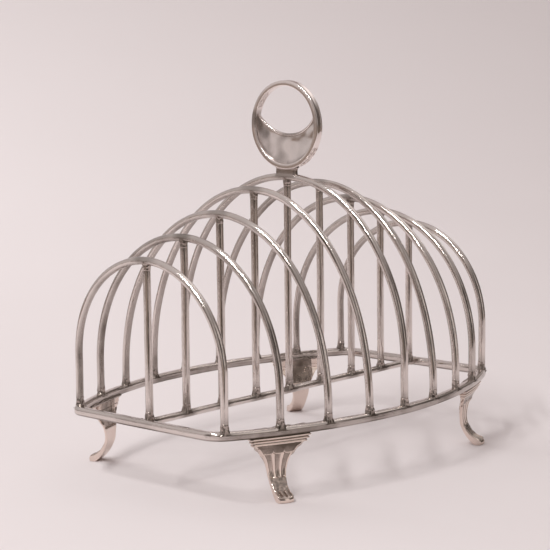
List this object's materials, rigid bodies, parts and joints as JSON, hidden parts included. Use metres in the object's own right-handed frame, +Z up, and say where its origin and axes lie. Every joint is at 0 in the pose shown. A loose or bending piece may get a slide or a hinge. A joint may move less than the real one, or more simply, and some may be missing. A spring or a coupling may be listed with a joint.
{
  "type": "toast rack",
  "caption": "Free-standing toast rack of parallel wire arches on a bowed wire base, with splayed fluted feet and a ring handle on top.",
  "frame": {"origin": "on the table, under the middle of the rack, in the plane of the toe soles", "axes": "+X along the row of arches, +Y across the rack in the plane of an arch, +Z up"},
  "size_m": [0.1532, 0.1124, 0.1383],
  "materials": {
    "silver_wire": "hand-polished drawn silver wire, softly scratched, darker at the soldered joints",
    "silver_cast": "hand-polished cast silver, with tarnish left in the grooves and flutes"
  },
  "bodies": {
    "root": {"base_frame": "silver_wire", "centre_bar": "silver_wire", "arch_1": "silver_wire", "arch_2": "silver_wire", "arch_3": "silver_wire", "arch_4": "silver_wire", "arch_5": "silver_wire", "arch_6": "silver_wire", "arch_7": "silver_wire", "arch_8": "silver_wire", "arch_9": "silver_wire", "centre_rod_1": "silver_wire", "centre_rod_2": "silver_wire", "centre_rod_3": "silver_wire", "centre_rod_4": "silver_wire", "centre_rod_5": "silver_wire", "centre_rod_6": "silver_wire", "centre_rod_7": "silver_wire", "centre_rod_8": "silver_wire", "centre_rod_9": "silver_wire", "handle_ring": "silver_cast", "handle_crescent": "silver_cast", "handle_block": "silver_cast", "foot_near_right": "silver_cast", "foot_near_left": "silver_cast", "foot_far_right": "silver_cast", "foot_far_left": "silver_cast"}
  },
  "joints": []
}
